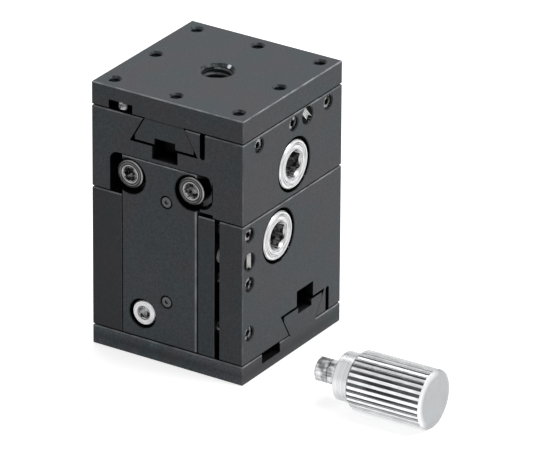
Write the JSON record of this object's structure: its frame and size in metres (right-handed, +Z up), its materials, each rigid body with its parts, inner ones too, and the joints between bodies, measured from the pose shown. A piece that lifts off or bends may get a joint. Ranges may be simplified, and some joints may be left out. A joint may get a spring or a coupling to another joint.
{
  "type": "three-axis dovetail stage",
  "caption": "Small three-axis dovetail stage with rack and pinion drives, slit gib strips, clamp screws and a loose fluted knob whose hex end turns the drives.",
  "frame": {"origin": "centre of the base plate's underside", "axes": "+Z up; +X to the right along the front face, the X travel; +Y from the front face to the back face, the Y travel"},
  "size_m": [0.0538, 0.0256, 0.04],
  "materials": {
    "black_metal": "black anodised, satin",
    "dark_steel": "blackened",
    "steel": "satin",
    "bright_steel": "turned, bright",
    "brass": "cut",
    "bright_aluminium": "turned, bright"
  },
  "bodies": {
    "base": {"base_plate": "black_metal", "x_rack": "dark_steel", "x_rack_screws": "steel", "x_stop_pins": "steel"},
    "x_carriage": {"lower_block": "black_metal", "x_stop_screws": "dark_steel", "x_bush": "dark_steel", "x_friction_washer": "steel", "x_set_screws": "dark_steel", "z_bush": "dark_steel", "z_friction_washer": "steel", "z_set_screws": "dark_steel"},
    "x_drive": {"x_shaft": "bright_steel", "x_drive_pinion": "brass"},
    "z_drive": {"z_shaft": "bright_steel", "z_drive_pinion": "brass"},
    "x_clamp": {"x_clamp_screw": "bright_steel"},
    "z_clamp": {"z_clamp_screw": "bright_steel"},
    "z_carriage": {"slide_plate": "black_metal", "z_rack": "dark_steel", "z_rack_screws": "dark_steel", "z_stop_screw": "bright_steel", "block_screws": "dark_steel", "upper_block": "black_metal", "y_bush": "dark_steel", "y_friction_washer": "steel", "y_set_screws": "dark_steel", "y_stop_pins": "steel"},
    "y_drive": {"y_shaft": "bright_steel", "y_drive_pinion": "brass"},
    "y_clamp": {"y_clamp_screw": "bright_steel"},
    "top": {"top_plate": "black_metal", "y_rack": "dark_steel", "y_rack_screws": "steel", "y_stop_screws": "bright_steel"},
    "knob": {"knob_grip": "bright_aluminium", "knob_key": "steel"}
  },
  "joints": [
    {"name": "x_slide", "type": "slide", "parent": "base", "child": "x_carriage", "axis": [1, 0, 0], "range_m": [-0.005, 0.005]},
    {"name": "z_slide", "type": "slide", "parent": "x_carriage", "child": "z_carriage", "axis": [0, 0, 1], "range_m": [0, 0.01]},
    {"name": "y_slide", "type": "slide", "parent": "z_carriage", "child": "top", "axis": [0, 1, 0], "range_m": [-0.005, 0.005]},
    {"name": "x_turn", "type": "hinge", "parent": "x_carriage", "child": "x_drive", "pos_m": [0, 0.0033, 0.011], "axis": [0, 1, 0], "range_deg": [-102.5, 102.5]},
    {"name": "z_turn", "type": "hinge", "parent": "x_carriage", "child": "z_drive", "pos_m": [-0.00015, -0.00355, 0.01945], "axis": [1, 0, 0], "range_deg": [-205, 0.5]},
    {"name": "y_turn", "type": "hinge", "parent": "z_carriage", "child": "y_drive", "pos_m": [-0.00035, 0.0003, 0.0288], "axis": [1, 0, 0], "range_deg": [-102.5, 102.5]},
    {"name": "x_clamp_turn", "type": "hinge", "parent": "x_carriage", "child": "x_clamp", "pos_m": [0.00345, 0.0125, 0.0044], "axis": [0, 1, 0], "range_deg": [-90, 90]},
    {"name": "z_clamp_turn", "type": "hinge", "parent": "x_carriage", "child": "z_clamp", "pos_m": [0.0125, -0.0108, 0.01835], "axis": [1, 0, 0], "range_deg": [-90, 90]},
    {"name": "y_clamp_turn", "type": "hinge", "parent": "z_carriage", "child": "y_clamp", "pos_m": [0.0125, 0.00365, 0.035], "axis": [1, 0, 0], "range_deg": [-90, 90]},
    {"name": "knob_lift", "type": "slide", "parent": "base", "child": "knob", "axis": [0, 0, 1], "range_m": [0, 0.03]}
  ],
  "couplings": [
    {"joint": "x_turn", "follows": "x_slide", "rad_per_m": 357.14},
    {"joint": "z_turn", "follows": "z_slide", "rad_per_m": -357.14},
    {"joint": "y_turn", "follows": "y_slide", "rad_per_m": -357.14}
  ]
}
